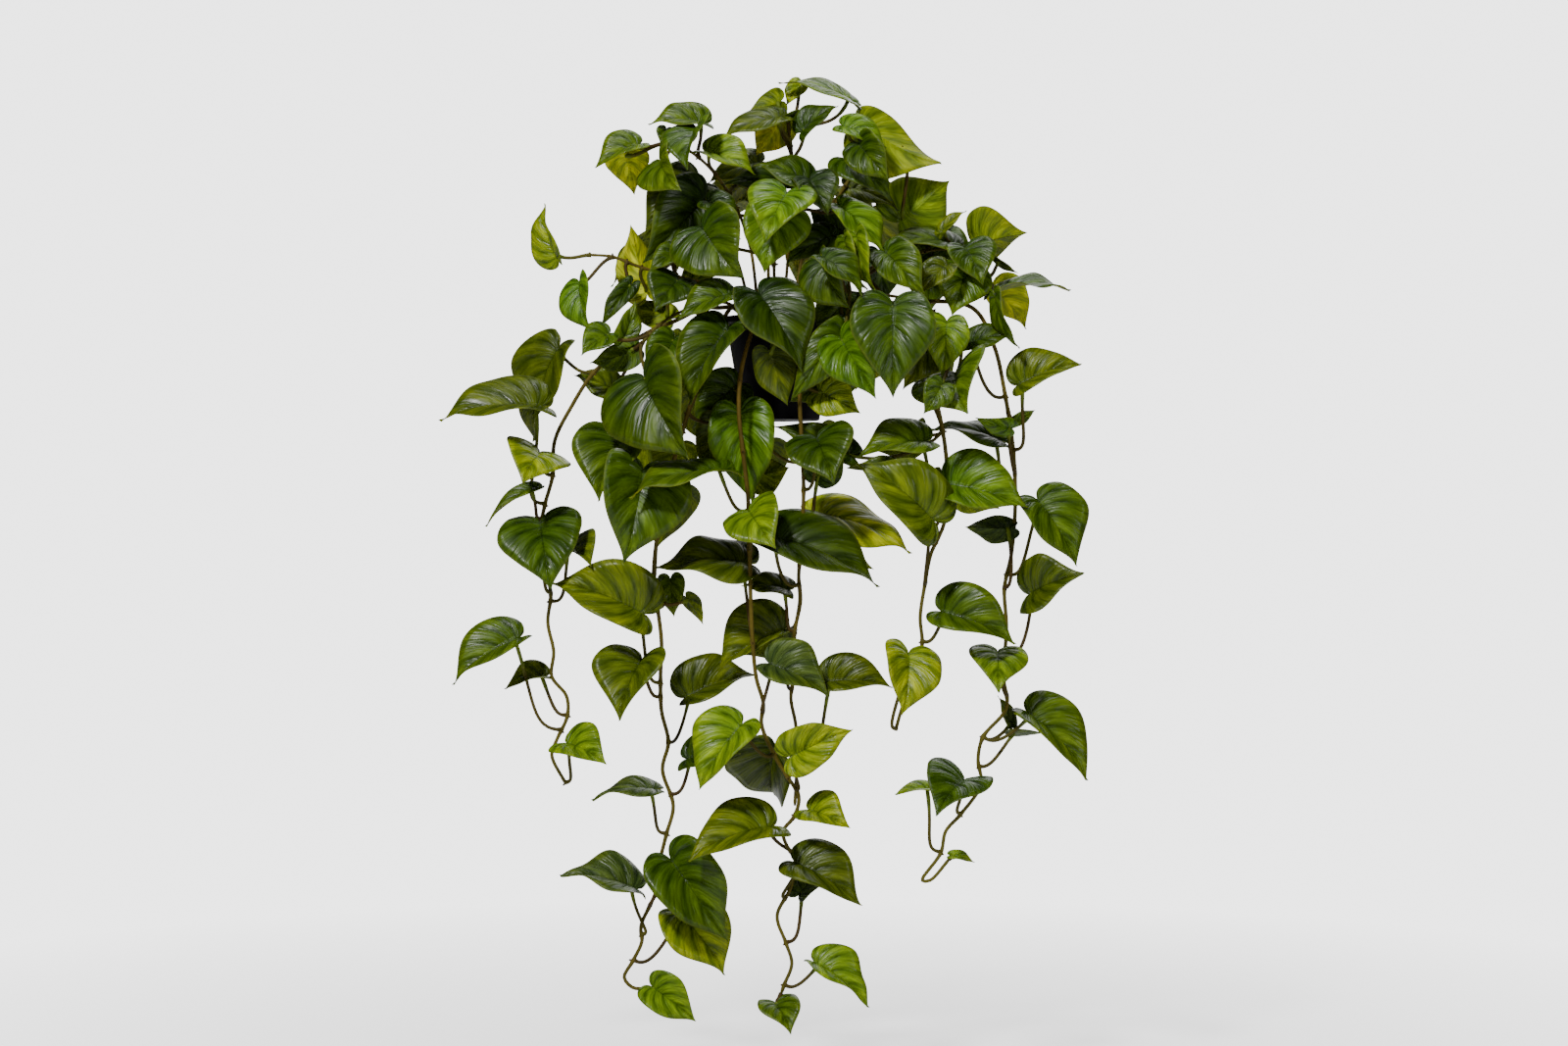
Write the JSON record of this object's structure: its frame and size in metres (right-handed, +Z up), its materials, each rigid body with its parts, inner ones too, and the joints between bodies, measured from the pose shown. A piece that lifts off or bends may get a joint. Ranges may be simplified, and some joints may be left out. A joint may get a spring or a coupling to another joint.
{
  "type": "trailing pothos plant in a hanging pot",
  "caption": "Bushy trailing pothos with green heart-shaped leaves on long hanging stems, in a small round black pot that hangs by its lip.",
  "frame": {"origin": "on the pot's axis, in the plane of the flat underside of its lip, where a hanger's ring holds it", "axes": "+Z up along the pot's axis; -Y towards the side that the picture shows; +X to its right"},
  "size_m": [0.6512, 0.345, 0.9594],
  "materials": {
    "pot": "satin black",
    "soil": "crumbly, matt",
    "foliage": "waxy green leaves"
  },
  "bodies": {
    "root": {"pot": "pot", "soil": "soil", "stem_left": "foliage", "stem_left_middle": "foliage", "stem_centre": "foliage", "stem_centre_right": "foliage", "stem_right_middle": "foliage", "stem_right": "foliage", "crown_top_left": "foliage", "crown_top": "foliage", "crown_top_right": "foliage", "crown_right": "foliage", "crown_centre": "foliage", "crown_left": "foliage", "crown_left_low": "foliage", "crown_front": "foliage", "crown_front_right": "foliage", "stem_back_left": "foliage", "stem_back_centre": "foliage", "stem_back_right": "foliage", "crown_back_left": "foliage", "crown_back_left_middle": "foliage", "crown_back_right_middle": "foliage", "crown_back_right": "foliage"}
  },
  "joints": []
}
